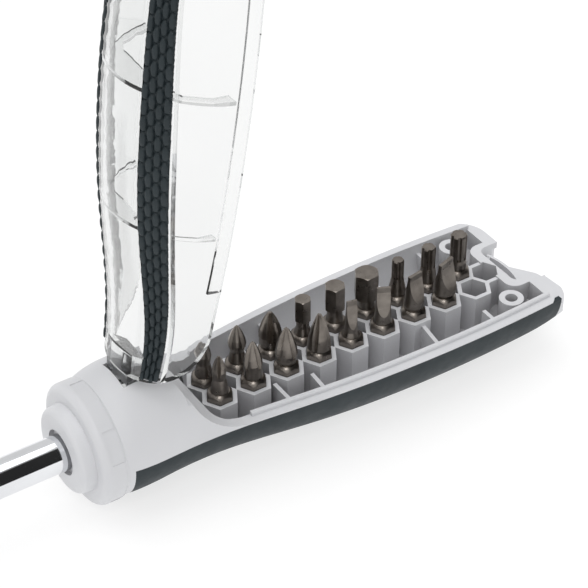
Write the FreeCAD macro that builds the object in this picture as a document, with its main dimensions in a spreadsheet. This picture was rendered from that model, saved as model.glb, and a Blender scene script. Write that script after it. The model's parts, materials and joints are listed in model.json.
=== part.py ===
import FreeCAD, Part
import math
import os
from FreeCAD import Placement, Rotation, Vector

# Multi-bit screwdriver with a hollow handle: millimetres, +X from the drive tip
# to the tail along the handle axis, +Z up through the lid, origin at the tip.
doc = FreeCAD.newDocument("bit_driver")
sheet = doc.addObject("Spreadsheet::Sheet", "Sizes")

SIZES = {
    "shank_reach": 100.0,  # drive tip to the front face of the nose
    "shank_width": 9.6,  # diameter of the round rod
    "shank_depth": 24.0,  # length of rod held inside the handle
    "socket_flats": 6.45,  # hexagon in the drive tip
    "socket_depth": 12.5,
    "magnet_width": 5.0,
    "magnet_height": 3.0,
    "boss_radius": 11.4,
    "boss_length": 3.8,
    "ring_radius": 16.2,
    "ring_length": 6.2,
    "wall": 3.3,  # tray side, with its rubber skin
    "grip_skin": 1.4,
    "split_height": 0.5,  # plane where the lid meets the tray
    "ramp_start": 143.5,  # curved front of the opening, from the split plane
    "ramp_top": 129.0,
    "ramp_height": 15.4,
    "lip_height": 1.2,
    "lip_width": 1.0,
    "floor_depth": 11.5,
    "first_bit": 143.5,
    "bit_pitch": 10.08,
    "row_spacing": 7.66,
    "seat_flats": 6.6,
    "seat_depth": 11.7,
    "tail_seat_depth": 8.5,  # shallower, over the sloping underside
    "post_radius": 5.12,
    "bit_flats": 6.35,
    "bit_length": 25.0,
    "hex_length": 14.0,
    "hinge_along": 120.1,
    "hinge_height": 10.9,
    "hinge_open": 81.4,  # degrees from closed to the stop
    "pin_radius": 1.0,
    "knuckle_radius": 3.9,
    "tongue_width": 9.8,
    "lid_wall": 1.8,
    "rim_wall": 1.1,
    "strip_depth": 0.8,
    "strip_rise": 0.5,
    "tail_end": 248.0,
    "rim_end": 241.5,
}
for row, (alias, value) in enumerate(SIZES.items(), start=1):
    sheet.set(f"A{row}", alias)
    sheet.set(f"B{row}", f"{value}")
    sheet.setAlias(f"B{row}", alias)
doc.recompute()


def size(alias):
    return float(sheet.get(alias))


# Stations along the handle: distance from the tip, half width, depth below the
# axis, height of the neck above it and height of the lid above it.
STATIONS = [
    (110.0, 15.7, 15.5, 16.0, 15.2),
    (114.0, 16.5, 15.6, 17.7, 15.6),
    (126.0, 16.5, 14.7, 18.3, 16.3),
    (142.0, 17.0, 14.8, 18.6, 16.6),
    (158.0, 18.8, 16.5, 20.6, 18.5),
    (176.0, 20.6, 18.3, 22.4, 21.2),
    (196.0, 21.6, 19.2, 23.4, 22.9),
    (216.0, 21.8, 19.2, 23.5, 23.3),
    (234.0, 21.2, 18.7, 22.4, 22.2),
    (248.0, 20.2, 18.0, 20.6, 20.4),
]
NECK, LID = 3, 4
SPLIT = size("split_height")
FLOOR = -size("floor_depth")


def plane(body, role):
    """The body's own origin plane: XY_Plane, XZ_Plane or YZ_Plane."""
    return next(f for f in body.Origin.OriginFeatures if f.Role == role)


def sketch(body, name, role, geometry, offset=0.0):
    """A sketch on an origin plane, moved by offset along the plane's normal."""
    s = body.newObject("Sketcher::SketchObject", name)
    s.AttachmentSupport = [(plane(body, role), "")]
    s.MapMode = "FlatFace"
    s.AttachmentOffset = Placement(Vector(0, 0, offset), Rotation())
    s.addGeometry(geometry, False)
    return s


def lines(points):
    """A closed outline of straight edges."""
    corners = [Vector(a, b, 0) for a, b in points]
    return [
        Part.LineSegment(a, b) for a, b in zip(corners, corners[1:] + corners[:1])
    ]


def outline(*steps):
    """A closed outline: each step is a point, or (middle, end) of an arc."""
    at = Vector(*steps[0], 0)
    first = at
    edges = []
    for step in steps[1:]:
        if isinstance(step[0], tuple):
            middle, end = Vector(*step[0], 0), Vector(*step[1], 0)
            edges.append(Part.Arc(at, middle, end))
        else:
            end = Vector(*step, 0)
            edges.append(Part.LineSegment(at, end))
        at = end
    if at.distanceToPoint(first) > 1e-6:
        edges.append(Part.LineSegment(at, first))
    return edges


def ring_of(radius, x=0.0, y=0.0):
    return [Part.Circle(Vector(x, y, 0), Vector(0, 0, 1), radius)]


def hexagon(flats, x=0.0, y=0.0, turn=0.0):
    """A hexagon with corners on the first axis when turn is 0."""
    reach = flats / math.sqrt(3)
    angles = [math.radians(turn + 60 * k) for k in range(6)]
    return lines([(x + reach * math.cos(a), y + reach * math.sin(a)) for a in angles])


def new_body(label):
    body = doc.addObject("PartDesign::Body", label)
    body.Label = label
    return body


def pad(body, name, profile, length, alias=None, both=False):
    """Pad along the sketch's normal; alias ties the length to the sheet."""
    feature = body.newObject("PartDesign::Pad", name)
    feature.Profile = profile
    feature.Length = abs(length)
    feature.Reversed = length < 0
    feature.Midplane = both
    if alias:
        feature.setExpression("Length", alias)
    return feature


def pocket(body, name, profile, length, alias=None, both=False):
    """Pocket against the sketch's normal, or along it when length is negative."""
    feature = body.newObject("PartDesign::Pocket", name)
    feature.Profile = profile
    feature.Length = abs(length)
    feature.Reversed = length < 0
    feature.Midplane = both
    if alias:
        feature.setExpression("Length", alias)
    return feature


def turned(body, name, profile, cut=False, angle=360.0, axis="H_Axis"):
    """Revolve a sketch about its first or second axis."""
    kind = "PartDesign::Groove" if cut else "PartDesign::Revolution"
    feature = body.newObject(kind, name)
    feature.Profile = profile
    feature.ReferenceAxis = (profile, [axis])
    feature.Angle = angle
    return feature


def loft(body, name, sections, cut=False, ruled=False):
    kind = "PartDesign::SubtractiveLoft" if cut else "PartDesign::AdditiveLoft"
    feature = body.newObject(kind, name)
    feature.Profile = sections[0]
    feature.Sections = sections[1:]
    feature.Ruled = ruled
    return feature


def along(body, name, feature, length, count, role="X_Axis"):
    """Repeat a feature in a row along an origin axis."""
    row = body.newObject("PartDesign::LinearPattern", name)
    row.Originals = [feature]
    row.Direction = (plane(body, role), [""])
    row.Length = length
    row.Occurrences = count
    body.Tip = row
    return row


def around(body, name, feature, count, role):
    """Repeat a feature evenly about an origin axis."""
    row = body.newObject("PartDesign::PolarPattern", name)
    row.Originals = [feature]
    row.Axis = (plane(body, role), [""])
    row.Angle = 360.0
    row.Occurrences = count
    body.Tip = row
    return row


def half_ellipse(width, height, start, end):
    """An arc of the ellipse centred on the split plane, by angles in degrees."""
    centre = Vector(0, SPLIT, 0)
    if width >= height:
        ellipse = Part.Ellipse(centre, width, height)
        return Part.ArcOfEllipse(ellipse, math.radians(start), math.radians(end))
    top = centre + Vector(0, height, 0)
    side = centre + Vector(-width, 0, 0)
    ellipse = Part.Ellipse(top, side, centre)
    return Part.ArcOfEllipse(ellipse, math.radians(start - 90), math.radians(end - 90))


def shell_sections(body, name, inset=0.0, crown=NECK):
    """Full cross sections of the closed handle, drawn inwards by inset."""
    found = []
    for number, station in enumerate(STATIONS):
        x, width, below = station[:3]
        above = station[crown]
        edges = [
            half_ellipse(width - inset, below - inset + SPLIT, 180, 360),
            half_ellipse(width - inset, above - inset - SPLIT, 0, 180),
        ]
        found.append(sketch(body, f"{name}_{number}", "YZ_Plane", edges, x))
    return found


def between(x, column):
    """A column of the stations at x, in a straight line between two rows."""
    for low, high in zip(STATIONS, STATIONS[1:]):
        if low[0] <= x <= high[0]:
            part = (x - low[0]) / (high[0] - low[0])
            return low[column] + (high[column] - low[column]) * part
    return STATIONS[-1][column]


def half_width(x):
    return between(x, 1)


# ---------------------------------------------------------------- shank
shank = new_body("shank")
radius = size("shank_width") / 2
reach = size("shank_reach") + size("shank_depth")
profile = outline(
    (0.0, 0.0),
    (0.0, radius - 0.8),
    (0.8, radius),
    (reach - 0.5, radius),
    (reach, radius - 0.5),
    (reach, 0.0),
)
turned(shank, "rod", sketch(shank, "rod_profile", "XZ_Plane", profile))
tip = sketch(shank, "drive_hexagon", "YZ_Plane", hexagon(size("socket_flats"), turn=90))
pocket(shank, "drive_socket", tip, -1, "Sizes.socket_depth + Sizes.magnet_height")
clip_seat = sketch(
    shank,
    "clip_seat_profile",
    "XZ_Plane",
    lines([(3.0, 0.0), (4.2, 0.0), (4.2, 4.15), (3.0, 4.15)]),
)
turned(shank, "clip_seat", clip_seat, cut=True)

magnet = doc.addObject("Part::Cylinder", "drive_magnet")
magnet.Label = "drive_magnet"
magnet.setExpression("Radius", "Sizes.magnet_width / 2")
magnet.setExpression("Height", "Sizes.magnet_height")
magnet.Placement = Placement(
    Vector(size("socket_depth"), 0, 0), Rotation(Vector(0, 1, 0), 90)
)

clip = new_body("retaining_clip")
clip_ring = sketch(
    clip,
    "clip_profile",
    "YZ_Plane",
    ring_of(4.1) + ring_of(3.76),
    3.1,
)
pad(clip, "clip_band", clip_ring, 1.0)
clip_gap = sketch(
    clip, "clip_gap_profile", "YZ_Plane", lines([(-1, 2), (1, 2), (1, 5), (-1, 5)]), 5.0
)
pocket(clip, "clip_gap", clip_gap, 4.0)

# ---------------------------------------------------------------- handle core
core = new_body("handle_core_blank")
loft(core, "neck_and_tray", shell_sections(core, "core_section"))
nose = size("shank_reach")
ring_front = nose + size("boss_length")
ring_back = ring_front + size("ring_length")
r_boss = size("boss_radius")
r_ring = size("ring_radius")
profile = outline(
    (nose, 0.0),
    (nose, r_boss - 1.6),
    ((nose + 0.45, r_boss - 0.5), (nose + 1.6, r_boss)),
    (ring_front, r_boss + 0.3),
    (ring_front, r_ring - 2.0),
    ((ring_front + 0.6, r_ring - 0.6), (ring_front + 2.0, r_ring)),
    (ring_back - 0.6, r_ring),
    (ring_back, r_ring - 0.2),
    (ring_back + 3.0, r_ring - 0.9),
    (ring_back + 3.0, 0.0),
)
turned(core, "nose", sketch(core, "nose_profile", "XZ_Plane", profile))
panel = sketch(
    core,
    "panel_profile",
    "XZ_Plane",
    lines([
        (ring_front + 2.4, r_ring - 0.18),
        (ring_back - 0.3, r_ring - 0.18),
        (ring_back - 0.3, r_ring + 1.0),
        (ring_front + 2.4, r_ring + 1.0),
    ]),
)
tilted = Rotation(Vector(1, 0, 0), -17.0)
panel.AttachmentOffset = Placement(Vector(), tilted)
finger_panel = turned(core, "finger_panel", panel, cut=True, angle=32.0)
around(core, "finger_panels", finger_panel, 6, "X_Axis")

# The opening: everything above the split plane behind the curved ramp.
ramp_start = size("ramp_start")
ramp_top = size("ramp_top")
ramp_height = size("ramp_height")
ramp_middle = (ramp_start - 9.4, 5.1)
profile = outline(
    (ramp_top, 40.0),
    (ramp_top, ramp_height),
    (ramp_middle, (ramp_start, SPLIT)),
    (280.0, SPLIT),
    (280.0, 40.0),
)
opening = sketch(core, "opening_profile", "XZ_Plane", profile)
pocket(core, "opening", opening, 80, both=True)

# The top corner of the ramp is rounded about the hinge so that the lid passes it.
hinge_x = size("hinge_along")
hinge_z = size("hinge_height")
round_r = ramp_top - hinge_x + 0.1
diagonal = round_r * math.sqrt(0.5)
profile = outline(
    (hinge_x, hinge_z + round_r),
    ((hinge_x + diagonal, hinge_z + diagonal), (hinge_x + round_r, hinge_z)),
    (hinge_x + round_r + 3.0, hinge_z),
    (hinge_x + round_r + 3.0, 40.0),
    (hinge_x, 40.0),
)
corner_cut = sketch(core, "ramp_corner_profile", "XZ_Plane", profile)
pocket(core, "ramp_corner", corner_cut, 80, both=True)


def tray_section(body, name, x, inset):
    """Cross section of the hollow: flat floor, sides parallel to the skin."""
    width = half_width(x) - inset
    station = min(STATIONS, key=lambda s: abs(s[0] - x))
    depth = max(station[2] - inset + SPLIT, -FLOOR + SPLIT + 1.2)
    drop = SPLIT - FLOOR
    low = math.degrees(math.asin(drop / depth))
    reach_low = width * math.sqrt(1 - (drop / depth) ** 2)
    if width >= depth:
        ellipse = Part.Ellipse(Vector(0, SPLIT, 0), width, depth)
        start, end = 180.0, 180.0 + low
        left = Part.ArcOfEllipse(ellipse, math.radians(start), math.radians(end))
        right = Part.ArcOfEllipse(
            ellipse, math.radians(360.0 - low), math.radians(360.0)
        )
    else:
        centre = Vector(0, SPLIT, 0)
        ellipse = Part.Ellipse(
            centre + Vector(0, depth, 0), centre + Vector(-width, 0, 0), centre
        )
        left = Part.ArcOfEllipse(ellipse, math.radians(90), math.radians(90 + low))
        right = Part.ArcOfEllipse(ellipse, math.radians(270 - low), math.radians(270))
    edges = [
        Part.LineSegment(Vector(-width, 6, 0), Vector(-width, SPLIT, 0)),
        left,
        Part.LineSegment(Vector(-reach_low, FLOOR, 0), Vector(reach_low, FLOOR, 0)),
        right,
        Part.LineSegment(Vector(width, SPLIT, 0), Vector(width, 6, 0)),
        Part.LineSegment(Vector(width, 6, 0), Vector(-width, 6, 0)),
    ]
    return sketch(body, name, "YZ_Plane", edges, x)


wall = size("wall")
hollow = [
    tray_section(core, f"hollow_{k}", x, wall)
    for k, x in enumerate((141.5, 158.0, 176.0, 196.0, 216.0, 228.0, 238.0))
]
loft(core, "hollow", hollow, cut=True)
front = outline(
    (142.0, 13.6),
    (140.5, 13.6),
    ((137.7, 12.3), (136.6, 9.5)),
    (136.6, -9.5),
    ((137.7, -12.3), (140.5, -13.6)),
    (142.0, -13.6),
)
hollow_front = sketch(core, "hollow_front_profile", "XY_Plane", front, 6.0)
pocket(core, "hollow_front", hollow_front, 6.0 - FLOOR - 3.0)

# The tray's floor rises with the sloping underside of the tail.
rising = lines([(221.0, -21.0), (241.0, -10.0), (241.0, -3.9), (221.0, -14.7)])
rising_floor = sketch(core, "rising_floor_profile", "XZ_Plane", rising)
pad(core, "rising_floor", rising_floor, 33.0, both=True)

# The raised inner lip that the lid fits around.
for side, word in ((-1, "near"), (1, "far")):
    strip = []
    for k, x in enumerate((146.0, 158.0, 176.0, 196.0, 216.0, 228.0, 238.5)):
        inner = side * (half_width(x) - wall)
        outer = inner + side * size("lip_width")
        top = SPLIT + size("lip_height")
        corners = [
            (inner, SPLIT - 0.6),
            (outer, SPLIT - 0.6),
            (outer, top - 0.3),
            (outer - side * 0.3, top),
            (inner, top),
        ]
        strip.append(
            sketch(core, f"lip_{word}_{k}", "YZ_Plane", lines(corners), x)
        )
    loft(core, f"lip_{word}", strip)

# Hexagonal posts, nine pairs and one at the tail, and the seats in them.
pitch = size("bit_pitch")
half_row = size("row_spacing") / 2
first = size("first_bit")
post_flats = size("post_radius") * math.sqrt(3)
last_x = first + 8 * pitch + size("row_spacing") * math.cos(math.radians(30))
rows = ((-half_row, "near"), (half_row, "far"))
for y, word in rows:
    post = sketch(
        core, f"post_{word}", "XY_Plane", hexagon(post_flats, first, y), FLOOR - 0.3
    )
    one = pad(core, f"post_pad_{word}", post, 1, "Sizes.floor_depth + 0.3")
    doc.recompute()
    along(core, f"posts_{word}", one, 8 * pitch, 9)
tail_post = sketch(
    core, "tail_post", "XY_Plane", hexagon(post_flats, last_x), FLOOR - 0.3
)
pad(core, "tail_post_pad", tail_post, 1, "Sizes.floor_depth + 0.3")

# The end wall with its inward pocket for the latch.
corner = 3.5
block_in, block_out, block_half = 232.0, 241.0, 10.4
profile = outline(
    (block_out, block_half),
    (block_in + corner, block_half),
    ((block_in + 1.0, block_half - 1.0), (block_in, block_half - corner)),
    (block_in, corner - block_half),
    ((block_in + 1.0, 1.0 - block_half), (block_in + corner, -block_half)),
    (block_out, -block_half),
)
end_wall = sketch(core, "end_wall_profile", "XY_Plane", profile, FLOOR - 0.3)
pad(core, "end_wall", end_wall, SPLIT - FLOOR + 0.3)

for y, word in rows:
    seat = sketch(
        core, f"seat_{word}", "XY_Plane", hexagon(size("seat_flats"), first, y)
    )
    one = pocket(core, f"seat_pocket_{word}", seat, 1, "Sizes.seat_depth")
    doc.recompute()
    along(core, f"seats_{word}", one, 8 * pitch, 9)
tail_seat = sketch(
    core, "tail_seat", "XY_Plane", hexagon(size("seat_flats"), last_x), SPLIT
)
depth = "Sizes.tail_seat_depth + Sizes.split_height"
pocket(core, "tail_seat_pocket", tail_seat, 1, depth)

pocket_in, pocket_half = 234.8, 8.4
profile = outline(
    (260.0, pocket_half),
    (pocket_in + 2.5, pocket_half),
    ((pocket_in + 0.7, pocket_half - 0.7), (pocket_in, pocket_half - 2.5)),
    (pocket_in, 2.5 - pocket_half),
    ((pocket_in + 0.7, 0.7 - pocket_half), (pocket_in + 2.5, -pocket_half)),
    (260.0, -pocket_half),
)
latch_pocket = sketch(core, "latch_pocket_profile", "XY_Plane", profile, 2.0)
pocket(core, "latch_pocket", latch_pocket, 5.2)
profile = outline(
    (237.6, 7.2),
    ((238.9, 0.0), (237.6, -7.2)),
    (236.8, -7.2),
    ((238.1, 0.0), (236.8, 7.2)),
)
ridge = sketch(core, "latch_ridge_profile", "XY_Plane", profile, -3.4)
pad(core, "latch_ridge", ridge, 2.0)

# The tail: a low tab past the rim, a rounded end and a sloping underside.
rim_end = size("rim_end")
tail_end = size("tail_end")
tab_cut = sketch(
    core,
    "tab_cut_profile",
    "XZ_Plane",
    lines([(rim_end, -1.6), (260, -1.6), (260, 10), (rim_end, 10)]),
)
pocket(core, "tab_cut", tab_cut, 80, both=True)


def frame_around(inner):
    """A big rectangle with a hole of the given outline."""
    return lines([(60.0, -60.0), (300.0, -60.0), (300.0, 60.0), (60.0, 60.0)]) + inner


def tail_outline(end, corner_x, corner_y):
    """Plan of the tail's rim: straight sides, round corners and a square end."""
    return outline(
        (90.0, 32.0),
        (corner_x, 32.0),
        (corner_x, corner_y + 4.0),
        (
            (corner_x + (end - corner_x) * 0.72, corner_y + 1.0),
            (end, corner_y - 4.0),
        ),
        (end, 4.0 - corner_y),
        (
            (corner_x + (end - corner_x) * 0.72, -1.0 - corner_y),
            (corner_x, -4.0 - corner_y),
        ),
        (corner_x, -32.0),
        (90.0, -32.0),
    )


# The tab under the latch is cut away at a slant on its far side.
tab_plan = frame_around(outline(
    (90.0, 32.0),
    (236.0, 32.0),
    (236.0, 22.0),
    ((239.4, 20.0), (rim_end - 0.3, 16.0)),
    (rim_end - 0.3, 9.0),
    (236.6, 6.8),
    (tail_end - 3.6, -4.2),
    ((tail_end - 2.7, -6.5), (tail_end - 3.1, -9.0)),
    (tail_end - 2.6, -15.0),
    ((tail_end - 5.0, -19.3), (236.0, -22.0)),
    (236.0, -32.0),
    (90.0, -32.0),
))
tab_trim = sketch(core, "tab_trim_profile", "XY_Plane", tab_plan, -1.5)
pocket(core, "tab_trim", tab_trim, 60.0)
rim_plan = frame_around(tail_outline(rim_end, 235.5, 18.0))
rim_trim = sketch(core, "rim_trim_profile", "XY_Plane", rim_plan, 20.0)
pocket(core, "rim_trim", rim_trim, 21.5)


def underside(inset=0.0):
    """Side view of what the tail's sloping underside removes."""
    return lines([
        (216.0, -20.6 + inset),
        (250.0, -2.2 + inset),
        (250.0, -40.0),
        (216.0, -40.0),
    ])


slope = sketch(core, "underside_profile", "XZ_Plane", underside())
pocket(core, "underside", slope, 80, both=True)

# Two bosses beside the tail post, and thin ribs out to the side walls.
boss_x, boss_y = 229.4, 13.5
for side, word in ((-1, "near"), (1, "far")):
    tower = sketch(
        core, f"tower_{word}", "XY_Plane", ring_of(3.35, boss_x, side * boss_y), FLOOR
    )
    pad(core, f"tower_pad_{word}", tower, 0.7 - FLOOR)
    hole = sketch(
        core,
        f"tower_hole_{word}",
        "XY_Plane",
        ring_of(1.7, boss_x, side * boss_y),
        0.7,
    )
    pocket(core, f"tower_bore_{word}", hole, 8.0)
    for number, (x, y_from, slant) in enumerate(
        ((158.6, 6.0, 0.0), (168.8, 8.0, -0.6), (204.3, 7.6, -1.6), (221.5, 11.8, 0.0))
    ):
        y_to = half_width(x) - wall + 0.6
        thin = 0.55
        corners = [
            (x - thin, side * y_from),
            (x + thin, side * y_from),
            (x + thin + slant, side * y_to),
            (x - thin + slant, side * y_to),
        ]
        rib = sketch(
            core, f"rib_{word}_{number}", "XY_Plane", lines(corners), FLOOR - 0.3
        )
        pad(core, f"rib_pad_{word}_{number}", rib, -1.0 - FLOOR)

# Hinge slot in the top of the neck, two lugs, the pin bore and the rod bore.
knuckle = size("knuckle_radius")
tongue = size("tongue_width")
slot_half = tongue / 2 + 0.25
slot_front = hinge_x - knuckle - 0.4
slot_floor = hinge_z - knuckle - 0.4
slot = sketch(
    core,
    "hinge_slot_profile",
    "XZ_Plane",
    lines([
        (slot_front, slot_floor),
        (ramp_top + 5.0, slot_floor),
        (ramp_top + 5.0, 30.0),
        (slot_front, 30.0),
    ]),
)
pocket(core, "hinge_slot", slot, 2 * slot_half, both=True)
LUG_HALF = 0.7
LUG_Y = 1.9
for side, word in ((-1, "near"), (1, "far")):
    lug = outline(
        (hinge_x - 2.4, slot_floor - 0.3),
        (hinge_x + 2.4, slot_floor - 0.3),
        (hinge_x + 2.4, hinge_z),
        ((hinge_x, hinge_z + 2.4), (hinge_x - 2.4, hinge_z)),
    )
    start = -(side * LUG_Y + LUG_HALF)
    leaf = sketch(core, f"lug_{word}", "XZ_Plane", lug, start)
    pad(core, f"lug_pad_{word}", leaf, 2 * LUG_HALF)
bore = sketch(
    core,
    "pin_bore_profile",
    "XZ_Plane",
    ring_of(size("pin_radius") + 0.02, hinge_x, hinge_z),
)
pocket(core, "pin_bore", bore, 14.4, both=True)
bore = sketch(
    core, "rod_bore_profile", "YZ_Plane", ring_of(size("shank_width") / 2 + 0.03), nose
)
pocket(core, "rod_bore", bore, -1, "Sizes.shank_depth + 0.3")
relief = sketch(core, "rod_relief_profile", "YZ_Plane", ring_of(6.1), nose)
pocket(core, "rod_relief", relief, -1.3)

# ---------------------------------------------------------------- rubber skin
grip = new_body("base_grip")
skin = size("grip_skin")
loft(grip, "outside", shell_sections(grip, "outside_section"))
trim = sketch(
    grip,
    "grip_trim_profile",
    "XZ_Plane",
    lines([(100, 0.2), (260, 0.2), (260, 40), (100, 40)]),
)
pocket(grip, "grip_trim", trim, 80, both=True)
tab_trim = sketch(grip, "grip_tail_profile", "XY_Plane", tab_plan, 1.0)
pocket(grip, "grip_tail", tab_trim, 60.0)
slope = sketch(grip, "grip_underside_profile", "XZ_Plane", underside())
pocket(grip, "grip_underside", slope, 80, both=True)
grip_start = 112.0
grip_end = rim_end - 0.6
for word, ends in (("front", (60.0, grip_start)), ("end", (grip_end, 300.0))):
    box = [(ends[0], -40), (ends[1], -40), (ends[1], 10), (ends[0], 10)]
    trim = sketch(grip, f"grip_{word}_profile", "XZ_Plane", lines(box))
    pocket(grip, f"grip_{word}", trim, 80, both=True)

heart = new_body("grip_heart")
loft(heart, "inside", shell_sections(heart, "inside_section", skin))
slope = sketch(heart, "heart_underside_profile", "XZ_Plane", underside(skin * 1.2))
pocket(heart, "heart_underside", slope, 80, both=True)

# ---------------------------------------------------------------- lid
lid = new_body("lid_shell_blank")
loft(lid, "dome", shell_sections(lid, "dome_section", crown=LID))
gap = 0.25
below = outline(
    (100.0, 40.0),
    (ramp_top + gap, 40.0),
    (ramp_top + gap, ramp_height),
    ((ramp_middle[0] + gap, ramp_middle[1] + gap), (ramp_start, SPLIT + gap)),
    (280.0, SPLIT + gap),
    (280.0, -40.0),
    (100.0, -40.0),
)
below_lid = sketch(lid, "below_lid_profile", "XZ_Plane", below)
pocket(lid, "below_lid", below_lid, 80, both=True)
rim_trim = sketch(lid, "lid_tail_profile", "XY_Plane", rim_plan, 40.0)
pocket(lid, "lid_tail", rim_trim, 60.0)


def dome_section(body, name, x, inset):
    """Inside of the dome: a half ellipse with straight sides down past the rim."""
    width = half_width(x) - inset
    low = -5.0
    edges = [
        half_ellipse(width, between(x, LID) - inset - SPLIT, 0, 180),
        Part.LineSegment(Vector(-width, SPLIT, 0), Vector(-width, low, 0)),
        Part.LineSegment(Vector(-width, low, 0), Vector(width, low, 0)),
        Part.LineSegment(Vector(width, low, 0), Vector(width, SPLIT, 0)),
    ]
    return sketch(body, name, "YZ_Plane", edges, x)


STEP_TOP = SPLIT + 3.3
mouths = [114.0, 126.0, 142.0, 158.0, 176.0, 196.0, 216.0, 234.0, rim_end - 2.2]
cavity = [
    dome_section(lid, f"dome_inside_{k}", x, size("lid_wall"))
    for k, x in enumerate(mouths)
]
loft(lid, "dome_inside", cavity, cut=True)
# A step inside the rim: the wall is thinner where it passes the tray's lip.
step = []
for number, x in enumerate(mouths[3:]):
    width = half_width(x) - size("rim_wall")
    corners = [(-width, -5.0), (width, -5.0), (width, STEP_TOP), (-width, STEP_TOP)]
    step.append(sketch(lid, f"rim_step_{number}", "YZ_Plane", lines(corners), x))
loft(lid, "rim_step", step, cut=True)


def hoop_section(body, name, x, inset, low):
    """A rib that follows the dome, with a window above the bits."""
    width = half_width(x) - inset
    height = between(x, LID) - inset - SPLIT
    angle = math.asin((low - SPLIT) / height)
    reach = width * math.cos(angle)
    start = math.degrees(angle)
    window = [(16.6, low), (16.6, 8.0), (13.4, 13.6), (9.6, 15.2)]
    corners = [(-reach, low)] + [(-y, z) for y, z in window]
    corners += window[::-1] + [(reach, low)]
    points = [Vector(y, z, 0) for y, z in corners]
    edges = [Part.LineSegment(p, q) for p, q in zip(points, points[1:])]
    edges.append(half_ellipse(width, height, start, 180.0 - start))
    return sketch(body, name, "YZ_Plane", edges, x)


for number, x in enumerate((173.5, 209.5)):
    hoop = hoop_section(lid, f"hoop_{number}", x, size("lid_wall") - 0.5, STEP_TOP + 0.3)
    pad(lid, f"hoop_pad_{number}", hoop, 1.0)

# The hinge tongue with its round knuckle, notched for the lugs.
tongue_top = hinge_z + knuckle
arm = outline(
    (hinge_x, tongue_top),
    ((hinge_x - knuckle, hinge_z), (hinge_x, hinge_z - knuckle)),
    (hinge_x + 1.5, hinge_z - 1.0),
    (ramp_top + 3.5, hinge_z - 1.0),
    (ramp_top + 7.0, tongue_top + 0.5),
    (ramp_top, tongue_top + 0.5),
)
tongue_plan = sketch(lid, "tongue_profile", "XZ_Plane", arm)
pad(lid, "tongue", tongue_plan, 1, "Sizes.tongue_width", both=True)
for side, word in ((-1, "near"), (1, "far")):
    notch = lines([
        (hinge_x - 5.0, slot_floor - 1.0),
        (hinge_x + 3.4, slot_floor - 1.0),
        (hinge_x + 3.4, tongue_top + 1.0),
        (hinge_x - 5.0, tongue_top + 1.0),
    ])
    start = -(side * LUG_Y - LUG_HALF - 0.2)
    gap_plan = sketch(lid, f"notch_profile_{word}", "XZ_Plane", notch, start)
    pocket(lid, f"notch_{word}", gap_plan, 2 * (LUG_HALF + 0.2))
bore = sketch(
    lid,
    "lid_bore_profile",
    "XZ_Plane",
    ring_of(size("pin_radius") + 0.06, hinge_x, hinge_z),
)
pocket(lid, "lid_bore", bore, 20, both=True)

# The latch that drops into the pocket in the tail.
latch_plan = sketch(
    lid,
    "latch_profile",
    "XZ_Plane",
    lines([
        (239.4, 8.0),
        (239.4, -2.4),
        (240.2, -2.8),
        (241.2, -2.4),
        (241.2, 8.0),
    ]),
)
pad(lid, "latch", latch_plan, 12.0, both=True)

# ---------------------------------------------------------------- lid strips
STRIP = {
    # distance from the tip, inner edge and outer edge from the centre line
    "front": (130.4, 8.7, 12.5),
    "swell": (147.0, 9.2, 13.9),
    "middle": (177.0, 9.0, 15.4),
    "waist": (205.0, 9.0, 15.4),
    "tail": (236.0, 7.7, 13.6),
}


def strip_outline(side):
    """Plan of one strip: two smooth edges and square ends."""
    inner = [Vector(x, side * a, 0) for x, a, _ in STRIP.values()]
    outer = [Vector(x, side * b, 0) for x, _, b in STRIP.values()]
    edges = []
    for points in (inner, outer):
        curve = Part.BSplineCurve()
        curve.interpolate(points)
        edges.append(curve)
    edges.append(Part.LineSegment(inner[0], outer[0]))
    edges.append(Part.LineSegment(inner[-1], outer[-1]))
    return edges


strips = []
for side, word in ((-1, "near"), (1, "far")):
    strip = new_body(f"lid_grip_{word}")
    rise = size("strip_rise")
    depth = size("strip_depth")
    loft(strip, "raised", shell_sections(strip, f"raised_{word}", -rise, LID))
    loft(strip, "under", shell_sections(strip, f"under_{word}", depth, LID), cut=True)
    big = lines([(60.0, -60.0), (300.0, -60.0), (300.0, 60.0), (60.0, 60.0)])
    plan = sketch(
        strip, f"strip_plan_{word}", "XY_Plane", big + strip_outline(side), 40.0
    )
    pocket(strip, "strip_trim", plan, 90.0)
    low = sketch(strip, f"strip_low_{word}", "XZ_Plane", below)
    pocket(strip, "strip_low", low, 90, both=True)
    strips.append(strip)

# ---------------------------------------------------------------- hinge pin
pin = doc.addObject("Part::Cylinder", "hinge_pin")
pin.Label = "hinge_pin"
pin.setExpression("Radius", "Sizes.pin_radius")
pin.Height = 14.0
pin.Placement = Placement(
    Vector(hinge_x, 7.0, hinge_z), Rotation(Vector(1, 0, 0), 90)
)
doc.recompute()

# ---------------------------------------------------------------- bits
ABOVE = size("bit_length") - size("hex_length")


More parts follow.
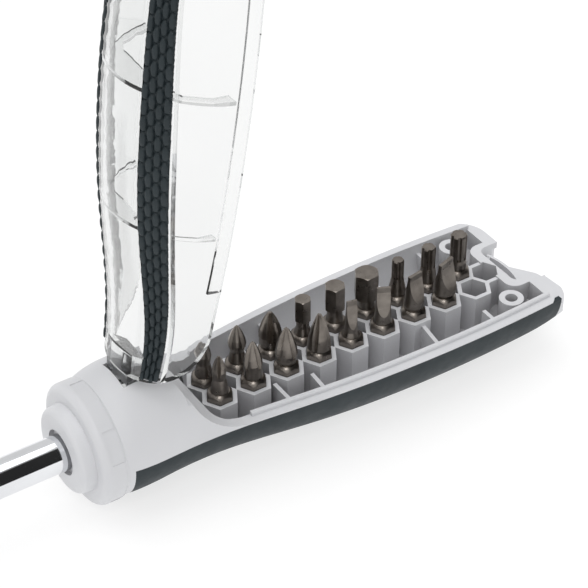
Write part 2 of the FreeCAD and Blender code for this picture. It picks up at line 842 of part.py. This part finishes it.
def bit_blank(label, contour, turn=0.0):
    """Hexagon shank and a turned head: contour lists (height above it, radius)."""
    body = new_body(label)
    flats = hexagon(size("bit_flats"), turn=turn)
    flats = sketch(body, f"{label}_hexagon", "XY_Plane", flats)
    pad(body, f"{label}_shank", flats, 1, "Sizes.hex_length")
    top = size("hex_length")
    corner = outline(
        (4.5, top - 2.1),
        (4.5, top + 1.0),
        (2.45, top + 1.0),
        (2.45, top + 0.1),
        ((3.28, top - 0.7), (3.72, top - 2.1)),
    )
    shoulder = sketch(body, f"{label}_shoulder_profile", "XZ_Plane", corner)
    turned(body, f"{label}_shoulder", shoulder, cut=True, axis="V_Axis")
    foot = outline((4.5, -0.5), (4.5, 0.9), (3.2, 0.0), (3.2, -0.5))
    bevel = sketch(body, f"{label}_foot_profile", "XZ_Plane", foot)
    turned(body, f"{label}_foot", bevel, cut=True, axis="V_Axis")
    points = [(0.0, top - 1.0), (2.4, top - 1.0), (2.4, top + 0.15)]
    points += [(r, top + z) for z, r in contour]
    points.append((0.0, points[-1][1]))
    head = sketch(body, f"{label}_head_profile", "XZ_Plane", lines(points))
    turned(body, f"{label}_head", head, axis="V_Axis")
    return body


def cross_bit(label, radius, cone, neck, turn=12.0):
    """Cross-point bit: cone is the pointed length, neck the waist (z, radius)."""
    start = ABOVE - cone
    contour = [neck, (start - 0.8, radius - 0.1)] if neck else [(0.6, radius)]
    contour += [
        (start, radius),
        (start + cone * 0.3, radius * 0.88),
        (start + cone * 0.65, radius * 0.6),
        (ABOVE - cone * 0.1, radius * 0.32),
        (ABOVE, radius * 0.17),
    ]
    blank = bit_blank(f"{label}_blank", contour)
    root = radius * 0.82
    lean = math.degrees(math.atan2(root - radius * 0.08, cone + 1.2))
    cutters = []
    for quarter in range(4):
        cutter = doc.addObject("Part::Box", f"{label}_flute_{quarter}")
        cutter.Length = cutter.Width = 5.0
        cutter.Height = cone + 6.0
        facing = Rotation(Vector(0, 0, 1), 90 * quarter + turn)
        tilt = Rotation(Vector(0, 1, 0), -lean)
        spin = Rotation(Vector(0, 0, 1), -45)
        foot = facing.multVec(Vector(root, 0, 0))
        foot.z = size("hex_length") + start - 1.2
        cutter.Placement = Placement(foot, facing * tilt * spin)
        cutters.append(cutter)
    flutes = doc.addObject("Part::MultiFuse", f"{label}_flutes")
    flutes.Shapes = cutters
    bit = doc.addObject("Part::Cut", label)
    bit.Base = blank
    bit.Tool = flutes
    return bit


def slot_bit(label, width, base, thick, turn):
    """Flat bit: a turned head tapering from base to width, cut to a blade.

    The blade is turned from the hexagon's corners by turn degrees.
    """
    contour = [(1.4, base + 0.1), (2.4, base), (ABOVE, width / 2)]
    body = bit_blank(label, contour, -turn)
    top = size("hex_length") + ABOVE
    low = top - ABOVE * 0.78
    for side in (-1, 1):
        wedge = outline(
            (side * thick / 2, top + 1.0),
            (side * thick / 2, top - 1.5),
            ((side * (thick / 2 + base * 0.22), top - 4.4), (side * base * 1.02, low)),
            (side * 5.0, low),
            (side * 5.0, top + 1.0),
        )
        name = f"{label}_face_{'left' if side < 0 else 'right'}"
        face = sketch(body, f"{name}_profile", "YZ_Plane", wedge)
        pocket(body, name, face, 20, both=True)
    body.Placement = Placement(Vector(), Rotation(Vector(0, 0, 1), turn))
    return body


def hexagon_bit(label, flats, length, neck):
    """Hexagon bit: the head's length from the top and the waist's radius."""
    start = ABOVE - length
    radius = flats / 2
    contour = [(start * 0.45, neck), (start - 0.3, neck), (start + 0.5, radius)]
    body = bit_blank(label, contour)
    top = size("hex_length")
    plan = sketch(body, f"{label}_key_hexagon", "XY_Plane", hexagon(flats), top + start)
    pad(body, f"{label}_key", plan, length)
    for name, z, rise in (("upper", top + ABOVE, -1), ("lower", top + start, 1)):
        bevel = outline(
            (radius * 1.02, z), (radius * 1.3, z), (radius * 1.3, z + rise * 0.45)
        )
        profile = sketch(body, f"{label}_{name}_bevel_profile", "XZ_Plane", bevel)
        turned(body, f"{label}_{name}_bevel", profile, cut=True, axis="V_Axis")
    return body


def star_bit(label, width, length):
    """Six-lobed bit: a fluted pin on a flared waist."""
    start = ABOVE - length
    radius = width / 2
    contour = [
        (0.9, 2.45),
        (start * 0.75, radius + 0.25),
        (start + 0.4, radius),
        (ABOVE - 0.25, radius),
        (ABOVE, radius - 0.25),
    ]
    body = bit_blank(label, contour)
    lobe = ring_of(radius * 0.29, radius * 1.07)
    plan = sketch(
        body, f"{label}_flute_plan", "XY_Plane", lobe, size("bit_length") + 1.0
    )
    flute = pocket(body, f"{label}_flute", plan, length + 0.6)
    doc.recompute()
    around(body, f"{label}_flutes", flute, 6, "Z_Axis")
    return body


near_row = [
    cross_bit("bit_cross_small", 1.9, 4.6, (4.0, 1.7), turn=57.0),
    cross_bit("bit_cross_fluted", 2.5, 6.6, (2.6, 2.4)),
    cross_bit("bit_cross_medium", 2.95, 7.8, (1.6, 2.8)),
    cross_bit("bit_cross_heavy", 3.17, 10.0, None, turn=35.0),
    slot_bit("bit_slot_narrow", 2.8, 1.7, 0.6, -13),
    slot_bit("bit_slot_small", 3.6, 2.2, 0.7, -25),
    slot_bit("bit_slot_medium", 4.4, 2.7, 0.9, 9),
    slot_bit("bit_slot_wide", 5.4, 3.1, 1.0, 18),
]
far_row = [
    cross_bit("bit_cross_fine", 2.1, 4.8, (3.4, 1.7)),
    cross_bit("bit_cross_round", 2.4, 5.4, (3.0, 1.75)),
    cross_bit("bit_cross_large", 3.15, 7.0, (1.2, 2.9), turn=57.0),
    hexagon_bit("bit_hex_small", 4.0, 6.8, 1.75),
    hexagon_bit("bit_hex_medium", 5.0, 7.4, 2.1),
    hexagon_bit("bit_hex_large", 6.0, 8.0, 2.4),
    star_bit("bit_star_small", 3.3, 6.2),
    star_bit("bit_star_medium", 3.9, 7.0),
    star_bit("bit_star_large", 4.5, 8.4),
]
bits = []
for row, y in ((near_row, -half_row), (far_row, half_row)):
    for number, bit in enumerate(row):
        bit.Label = bit.Name
        place = Vector(first + number * pitch, y, -size("seat_depth"))
        bit.Placement = Placement(place, bit.Placement.Rotation)
        bits.append(bit)


# ---------------------------------------------------------------- joined parts
def combine(kind, label, base, tool):
    made = doc.addObject(kind, label)
    made.Base = base
    made.Tool = tool
    made.Label = label
    return made


skin_solid = combine("Part::Cut", "base_grip_skin", grip, heart)
region = doc.addObject("Part::Box", "grip_region")
region.Length = grip_end - grip_start
region.Width = 80.0
region.Height = 50.0 + 0.2
region.Placement = Placement(Vector(grip_start, -40, -50), Rotation())
bed = combine("Part::Cut", "grip_bed", region, heart)
tray = combine("Part::Cut", "handle_core", core, bed)
both_strips = doc.addObject("Part::MultiFuse", "lid_strips")
both_strips.Shapes = strips
shell = combine("Part::Cut", "lid_shell", lid, both_strips)
doc.recompute()

# The lid is drawn closed and stands open at its stop.
opened = Rotation(Vector(0, -1, 0), size("hinge_open"))
pivot = Vector(hinge_x, 0, hinge_z)
swing = Placement(pivot - opened.multVec(pivot), opened)
lid_parts = []
for label, source in (
    ("lid_shell", shell),
    ("lid_grip_near", strips[0]),
    ("lid_grip_far", strips[1]),
):
    lid_parts.append((label, source, swing))

PARTS = [(o.Label, o, Placement()) for o in (shank, magnet, clip, tray)]
PARTS.append(("base_grip", skin_solid, Placement()))
PARTS.append(("hinge_pin", pin, Placement()))
PARTS += lid_parts
PARTS += [(b.Label, b, Placement()) for b in bits]

for obj in doc.Objects:
    if "Invalid" in obj.State or "Error" in obj.State:
        raise RuntimeError(f"{obj.Name} did not build: {obj.State}")

os.makedirs("parts", exist_ok=True)
for label, source, move in PARTS:
    shape = source.Shape.copy()
    if move != Placement():
        shape.Placement = move * shape.Placement
    if shape.isNull() or not shape.isValid():
        raise RuntimeError(f"{label} has no valid shape")
    print(label, len(shape.Solids), round(shape.Volume), shape.BoundBox)
    shape.exportStep(f"parts/{label}.step")
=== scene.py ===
import json
import math

import bmesh
import bpy
from mathutils import Matrix, Vector
from mathutils.bvhtree import BVHTree


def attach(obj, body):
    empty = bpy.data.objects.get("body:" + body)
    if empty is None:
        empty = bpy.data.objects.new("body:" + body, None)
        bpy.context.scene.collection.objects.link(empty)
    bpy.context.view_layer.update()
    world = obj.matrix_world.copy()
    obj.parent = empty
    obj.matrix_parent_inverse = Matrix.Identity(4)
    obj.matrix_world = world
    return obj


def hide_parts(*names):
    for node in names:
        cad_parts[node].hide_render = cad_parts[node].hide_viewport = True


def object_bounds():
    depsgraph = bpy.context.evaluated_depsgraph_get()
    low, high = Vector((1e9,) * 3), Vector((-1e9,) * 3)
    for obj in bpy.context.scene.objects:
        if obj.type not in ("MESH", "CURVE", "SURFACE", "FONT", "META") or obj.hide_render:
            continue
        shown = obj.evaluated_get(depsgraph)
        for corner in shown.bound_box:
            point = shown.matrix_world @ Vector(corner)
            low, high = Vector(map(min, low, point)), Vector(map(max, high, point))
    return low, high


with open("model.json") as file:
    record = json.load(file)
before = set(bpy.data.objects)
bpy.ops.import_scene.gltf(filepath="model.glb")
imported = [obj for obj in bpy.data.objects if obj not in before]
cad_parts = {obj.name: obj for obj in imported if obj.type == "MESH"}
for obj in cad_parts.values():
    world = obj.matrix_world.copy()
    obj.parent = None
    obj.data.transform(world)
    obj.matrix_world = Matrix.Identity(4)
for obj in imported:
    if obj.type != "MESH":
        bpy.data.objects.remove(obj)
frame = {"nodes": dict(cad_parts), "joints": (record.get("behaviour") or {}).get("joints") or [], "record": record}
cad_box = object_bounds()
nodes = frame["nodes"]
scene = bpy.context.scene
scene.view_settings.view_transform = "Standard"
scene.view_settings.look = "None"

# ------------------------------------------------------------------ camera
CAMERA_AT = Vector((-0.05255, -0.33661, 0.34254))
CAMERA_YAW = math.radians(-33.295)
CAMERA_DROP = math.radians(38.717)
CAMERA_LENS = 124.5  # mm
SENSOR_WIDTH = 36.0  # mm
NEAREST_SEEN = 0.01

camera_data = bpy.data.cameras.new("camera")
camera_data.lens = CAMERA_LENS
camera_data.sensor_width = SENSOR_WIDTH
camera_data.clip_start = NEAREST_SEEN
camera = bpy.data.objects.new("camera", camera_data)
camera.location = CAMERA_AT
camera.rotation_euler = (math.pi / 2 - CAMERA_DROP, 0.0, CAMERA_YAW)
scene.collection.objects.link(camera)
scene.camera = camera


# ------------------------------------------------------------------ materials
GRAIN = 0.0001  # height of the fine texture of moulded and ground surfaces
SHADE_REACH = 0.014  # how far the shade painted into the plastic's colour reaches between the tray's walls
WHITE = (1.0, 1.0, 1.0, 1.0)
WALL_TINT = (0.70, 0.72, 0.72, 1.0)  # colour that thick clear plastic takes on
WALL_DENSITY = 60.0


class Mix:
    """A material with a Principled shader and helpers for its node tree."""

    def __init__(self, name, **values):
        self.material = bpy.data.materials.new(name)
        self.material.use_nodes = True
        self.tree = self.material.node_tree
        self.shader = self.tree.nodes["Principled BSDF"]
        self.coords = self.node("ShaderNodeTexCoord")
        for socket, value in values.items():
            self.shader.inputs[socket.replace("_", " ")].default_value = value

    def node(self, kind, **inputs):
        made = self.tree.nodes.new(kind)
        for socket, value in inputs.items():
            made.inputs[socket].default_value = value
        return made

    def link(self, source, target):
        self.tree.links.new(source, target)

    def noise(self, scale, detail=4.0, stretch=None):
        """Noise in object space; stretch scales its axes."""
        texture = self.node("ShaderNodeTexNoise", Scale=scale, Detail=detail)
        source = self.coords.outputs["Object"]
        if stretch:
            mapping = self.node("ShaderNodeMapping")
            mapping.inputs["Scale"].default_value = stretch
            self.link(source, mapping.inputs["Vector"])
            source = mapping.outputs["Vector"]
        self.link(source, texture.inputs["Vector"])
        return texture.outputs["Fac"]

    def ramp(self, source, *stops):
        """A colour ramp: stops are (position, colour)."""
        made = self.node("ShaderNodeValToRGB")
        elements = made.color_ramp.elements
        while len(elements) < len(stops):
            elements.new(0.5)
        for element, (position, colour) in zip(elements, stops):
            element.position = position
            element.color = (*colour, 1.0)
        self.link(source, made.inputs["Fac"])
        return made.outputs["Color"]

    def vary(self, socket, source, low, high):
        """Drive a socket by a texture, spread from low to high."""
        spread = self.node("ShaderNodeMapRange")
        spread.inputs["From Min"].default_value = 0.3
        spread.inputs["From Max"].default_value = 0.7
        spread.inputs["To Min"].default_value = low
        spread.inputs["To Max"].default_value = high
        self.link(source, spread.inputs["Value"])
        self.link(spread.outputs["Result"], self.shader.inputs[socket])

    def bump(self, source, strength, distance=GRAIN):
        made = self.node("ShaderNodeBump", Strength=strength, Distance=distance)
        self.link(source, made.inputs["Height"])
        self.link(made.outputs["Normal"], self.shader.inputs["Normal"])


def chrome():
    mix = Mix("chrome_steel", Metallic=1.0)
    colour = mix.ramp(mix.noise(60.0), (0.3, (0.74, 0.75, 0.77)), (0.7, (0.84, 0.85, 0.87)))
    mix.link(colour, mix.shader.inputs["Base Color"])
    mix.vary("Roughness", mix.noise(400.0, stretch=(0.1, 1.0, 1.0)), 0.05, 0.11)
    return mix.material


def grey_plastic():
    mix = Mix("grey_plastic", Specular_IOR_Level=0.4)
    colour = mix.ramp(mix.noise(35.0), (0.3, (0.655, 0.66, 0.68)), (0.7, (0.695, 0.70, 0.72)))
    # Painted shade: ambient occlusion darkens the plastic's colour, so the deep parts of the tray are darker.
    corners = mix.node("ShaderNodeAmbientOcclusion", Distance=SHADE_REACH)
    corners.samples = 8
    painted_shade = mix.ramp(
        corners.outputs["AO"], (0.0, (0.60, 0.59, 0.59)), (0.55, (1.0, 1.0, 1.0))
    )
    shaded = mix.node("ShaderNodeMix")
    shaded.data_type = "RGBA"
    shaded.blend_type = "MULTIPLY"
    shaded.inputs["Factor"].default_value = 1.0
    mix.link(colour, shaded.inputs["A"])
    mix.link(painted_shade, shaded.inputs["B"])
    mix.link(shaded.outputs["Result"], mix.shader.inputs["Base Color"])
    mix.vary("Roughness", mix.noise(120.0), 0.38, 0.48)
    mix.bump(mix.noise(2500.0), 0.08)
    return mix.material


def dark_rubber():
    mix = Mix("dark_rubber", Specular_IOR_Level=0.35)
    colour = mix.ramp(mix.noise(50.0), (0.3, (0.014, 0.022, 0.026)), (0.7, (0.021, 0.031, 0.036)))
    mix.link(colour, mix.shader.inputs["Base Color"])
    mix.vary("Roughness", mix.noise(300.0), 0.5, 0.62)
    mix.bump(mix.noise(3500.0), 0.15)
    return mix.material


def clear_plastic():
    mix = Mix("clear_plastic", Transmission_Weight=1.0, IOR=1.49)
    colour = mix.ramp(mix.noise(40.0), (0.3, (0.895, 0.899, 0.897)), (0.7, (0.915, 0.918, 0.916)))
    mix.link(colour, mix.shader.inputs["Base Color"])
    mix.vary("Roughness", mix.noise(80.0), 0.0, 0.03)
    haze = mix.node("ShaderNodeVolumeAbsorption", Density=WALL_DENSITY, Color=WALL_TINT)
    mix.link(haze.outputs["Volume"], mix.tree.nodes["Material Output"].inputs["Volume"])
    return mix.material


def bit_steel():
    mix = Mix("bit_steel", Metallic=1.0)
    colour = mix.ramp(mix.noise(300.0), (0.3, (0.17, 0.15, 0.133)), (0.7, (0.26, 0.235, 0.21)))
    mix.link(colour, mix.shader.inputs["Base Color"])
    mix.vary("Roughness", mix.noise(700.0), 0.26, 0.38)
    mix.bump(mix.noise(2500.0), 0.1)
    return mix.material


def plain_steel(name, shade):
    mix = Mix(name, Metallic=1.0)
    colour = mix.ramp(
        mix.noise(200.0),
        (0.3, (shade * 0.9, shade * 0.9, shade * 0.91)),
        (0.7, (shade, shade, shade * 1.02)),
    )
    mix.link(colour, mix.shader.inputs["Base Color"])
    mix.vary("Roughness", mix.noise(600.0), 0.2, 0.3)
    return mix.material


MATERIALS = {
    "chrome_steel": chrome(),
    "grey_plastic": grey_plastic(),
    "dark_rubber": dark_rubber(),
    "clear_plastic": clear_plastic(),
    "bit_steel": bit_steel(),
    "magnet_steel": plain_steel("magnet_steel", 0.5),
    "spring_steel": plain_steel("spring_steel", 0.6),
    "pin_steel": plain_steel("pin_steel", 0.65),
}
for subpart in frame["record"]["subparts"]:
    obj = nodes[subpart["node"]]
    obj.data.materials.clear()
    obj.data.materials.append(MATERIALS[subpart["material_slot"]])

# ------------------------------------------------------------------ lid strips
hinge = next(j for j in frame["joints"] if j["name"] == "lid_hinge")
PIVOT = Vector(hinge["pos_m"])
OPEN_ANGLE = math.radians(-hinge["range_deg"][0])
SWING = (
    Matrix.Translation(PIVOT)
    @ Matrix.Rotation(OPEN_ANGLE, 4, Vector(hinge["axis"]))
    @ Matrix.Translation(-PIVOT)
)
CLOSE = SWING.inverted()

COLUMNS = 4  # scales across a strip
SCALE_PITCH = 0.0040  # along the strip
STRIP_STEP = 0.00025  # between two rows of the strip's mesh
ACROSS = 40  # faces across the strip
CAD_RISE = 0.0005  # how far the CAD strip stands above the dome
GROOVE = 0.00035  # how far the grooves between the scales go below the dome
THICKNESS = 0.0012  # from the CAD strip's top face to the underside drawn here
CLEAR = 0.00006  # gap to the sides of the recess in the lid
PROBE_STEP = 0.00008  # between two rays across the strip
PROBE_HEIGHT = 0.1  # above everything on the closed lid
FACES_UP = 0.2  # least upward part of a top face's normal
DOWN = Vector((0, 0, -1))
SCALE_LENGTH, SCALE_WIDTH = 0.47, 0.49  # half sizes, as parts of the pitch
SCALE_CORNER, SCALE_DOME = 2.6, 0.45  # how square its outline and flat its top
SHARP = math.radians(50)


def closed_surface(node):
    """Ray tree of a lid piece, turned to where it is with the lid closed."""
    mesh = node.data
    points = [CLOSE @ v.co for v in mesh.vertices]
    return BVHTree.FromPolygons(points, [p.vertices[:] for p in mesh.polygons]), points


def crossing(tree, x, low, high):
    """Points of the strip's top face across it at x, from low to high."""
    found = []
    for k in range(int((high - low) / PROBE_STEP) + 1):
        y = low + k * PROBE_STEP
        hit, normal, _, _ = tree.ray_cast(Vector((x, y, PROBE_HEIGHT)), DOWN)
        if hit is not None and normal.z > FACES_UP:
            found.append(hit)
    return found


def spaced(points, count):
    """The same line through count + 1 evenly spaced points, CLEAR of its ends."""
    lengths = [0.0]
    for a, b in zip(points, points[1:]):
        lengths.append(lengths[-1] + (b - a).length)
    total = lengths[-1]
    out = []
    at = 0
    for k in range(count + 1):
        want = CLEAR + (total - 2 * CLEAR) * k / count
        while at < len(lengths) - 2 and lengths[at + 1] < want:
            at += 1
        part = (want - lengths[at]) / max(lengths[at + 1] - lengths[at], 1e-9)
        out.append(points[at].lerp(points[at + 1], part))
    return out


def scale_height(along, across):
    """Height of the scales from 0 to 1; across runs from 0 to 1 too."""
    column = min(int(across * COLUMNS), COLUMNS - 1)
    offset = 0.5 * (column % 2)
    u = (along / SCALE_PITCH + offset) % 1.0 - 0.5
    v = across * COLUMNS - column - 0.5
    off = (abs(u) / SCALE_LENGTH) ** SCALE_CORNER + (abs(v) / SCALE_WIDTH) ** SCALE_CORNER
    return max(0.0, 1.0 - off) ** SCALE_DOME


def scaled_strip(name, node):
    """A strip with scales, over the same area as its CAD node."""
    tree, points = closed_surface(node)
    low_x, high_x = min(p.x for p in points) + CLEAR, max(p.x for p in points) - CLEAR
    low_y, high_y = min(p.y for p in points), max(p.y for p in points)
    rows = []
    steps = int((high_x - low_x) / STRIP_STEP)
    for k in range(steps + 1):
        x = low_x + (high_x - low_x) * k / steps
        line = crossing(tree, x, low_y, high_y)
        if len(line) > 4:
            rows.append(spaced(line, ACROSS))
    top, bottom = [], []
    for k, row in enumerate(rows):
        ahead = rows[min(k + 1, len(rows) - 1)]
        behind = rows[max(k - 1, 0)]
        for j, point in enumerate(row):
            side = row[min(j + 1, ACROSS)] - row[max(j - 1, 0)]
            normal = (ahead[j] - behind[j]).cross(side).normalized()
            if normal.z < 0:
                normal = -normal
            height = scale_height(k * STRIP_STEP, j / ACROSS)
            base = point - normal * CAD_RISE
            lift = height * (CAD_RISE + GROOVE) - GROOVE
            top.append(SWING @ (base + normal * lift))
            bottom.append(SWING @ (point - normal * THICKNESS))
    return solid_sheet(name, top, bottom, len(rows), ACROSS + 1)


def solid_sheet(name, top, bottom, rows, columns):
    """A closed mesh between two grids of the same size."""
    size = rows * columns
    faces = []
    for k in range(rows - 1):
        for j in range(columns - 1):
            a = k * columns + j
            faces.append((a, a + 1, a + columns + 1, a + columns))
            faces.append((size + a, size + a + columns, size + a + columns + 1, size + a + 1))
    rim = [k * columns for k in range(rows)]
    rim += [(rows - 1) * columns + j for j in range(1, columns)]
    rim += [k * columns + columns - 1 for k in range(rows - 2, -1, -1)]
    rim += [j for j in range(columns - 2, 0, -1)]
    for a, b in zip(rim, rim[1:] + rim[:1]):
        faces.append((a, b, size + b, size + a))
    mesh = bpy.data.meshes.new(name)
    mesh.from_pydata(top + bottom, [], faces)
    mesh.update()
    tidy = bmesh.new()
    tidy.from_mesh(mesh)
    bmesh.ops.recalc_face_normals(tidy, faces=tidy.faces)
    tidy.to_mesh(mesh)
    tidy.free()
    mesh.shade_smooth()
    mesh.set_sharp_from_angle(angle=SHARP)
    obj = bpy.data.objects.new(name, mesh)
    scene.collection.objects.link(obj)
    return obj


for word in ("near", "far"):
    strip = scaled_strip(f"lid_strip_{word}", nodes[f"lid_grip_{word}"])
    strip.data.materials.append(MATERIALS["dark_rubber"])
    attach(strip, "lid")
    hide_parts(f"lid_grip_{word}")

# ------------------------------------------------------------------ studio
FLOOR_REACH = 4.0
FLOOR_GLOW = 0.70
TENT_LIGHT = 0.62
DARK_SIDE, LIT_SIDE = 0.03, 0.95  # what the rod mirrors

floor_z = cad_box[0][2]
mesh = bpy.data.meshes.new("floor")
reach = FLOOR_REACH
corners = [(-reach, -reach), (reach, -reach), (reach, reach), (-reach, reach)]
mesh.from_pydata([(x, y, floor_z) for x, y in corners], [], [(0, 1, 2, 3)])
floor = bpy.data.objects.new("floor", mesh)
scene.collection.objects.link(floor)
paint = Mix("floor_paint", Roughness=0.9, Specular_IOR_Level=0.0)
shade = paint.ramp(paint.noise(3.0), (0.3, (0.35, 0.35, 0.35)), (0.7, (0.37, 0.37, 0.37)))
paint.link(shade, paint.shader.inputs["Base Color"])
paint.shader.inputs["Emission Color"].default_value = WHITE
paint.shader.inputs["Emission Strength"].default_value = FLOOR_GLOW
mesh.materials.append(paint.material)


def softbox(name, at, to, size, power):
    """A square area light at one point, aimed at another."""
    data = bpy.data.lights.new(name, "AREA")
    data.size = size
    data.energy = power
    light = bpy.data.objects.new(name, data)
    light.location = at
    light.rotation_euler = (Vector(to) - Vector(at)).to_track_quat("-Z", "Y").to_euler()
    scene.collection.objects.link(light)


middle = (0.15, 0.0, 0.0)
softbox("overhead", (0.0, 0.3, 1.9), middle, 1.8, 16.0)
softbox("key", (-0.35, -0.75, 1.2), middle, 0.3, 2.6)

# The room: white to the camera, a plain tent for diffuse light, and for
# reflections the same tent with a dark side, as in a studio.
world = bpy.data.worlds.new("studio")
scene.world = world
world.use_nodes = True
tree = world.node_tree
tent = tree.nodes["Background"]
tent.inputs["Color"].default_value = WHITE
tent.inputs["Strength"].default_value = TENT_LIGHT
white = tree.nodes.new("ShaderNodeBackground")
white.inputs["Color"].default_value = WHITE
room = tree.nodes.new("ShaderNodeBackground")
coords = tree.nodes.new("ShaderNodeTexCoord")
split = tree.nodes.new("ShaderNodeSeparateXYZ")
tree.links.new(coords.outputs["Generated"], split.inputs["Vector"])


def soft_step(source, low, high):
    """0 below low and 1 above high."""
    step = tree.nodes.new("ShaderNodeMapRange")
    step.interpolation_type = "SMOOTHSTEP"
    step.inputs["From Min"].default_value = low
    step.inputs["From Max"].default_value = high
    tree.links.new(source, step.inputs["Value"])
    return step.outputs["Result"]


def larger(a, b):
    node = tree.nodes.new("ShaderNodeMath")
    node.operation = "MAXIMUM"
    tree.links.new(a, node.inputs[0])
    tree.links.new(b, node.inputs[1])
    return node.outputs["Value"]


behind = soft_step(split.outputs["Y"], -0.06, 0.04)
above = soft_step(split.outputs["Z"], 0.90, 0.95)
left = soft_step(split.outputs["X"], 0.05, -0.15)
lit = larger(larger(behind, above), left)
levels = tree.nodes.new("ShaderNodeMapRange")
levels.inputs["To Min"].default_value = DARK_SIDE
levels.inputs["To Max"].default_value = LIT_SIDE
tree.links.new(lit, levels.inputs["Value"])
tree.links.new(levels.outputs["Result"], room.inputs["Strength"])
path = tree.nodes.new("ShaderNodeLightPath")
mirrored = tree.nodes.new("ShaderNodeMixShader")
seen = tree.nodes.new("ShaderNodeMixShader")
tree.links.new(path.outputs["Is Glossy Ray"], mirrored.inputs["Fac"])
tree.links.new(tent.outputs["Background"], mirrored.inputs[1])
tree.links.new(room.outputs["Background"], mirrored.inputs[2])
tree.links.new(path.outputs["Is Camera Ray"], seen.inputs["Fac"])
tree.links.new(mirrored.outputs["Shader"], seen.inputs[1])
tree.links.new(white.outputs["Background"], seen.inputs[2])
tree.links.new(seen.outputs["Shader"], tree.nodes["World Output"].inputs["Surface"])
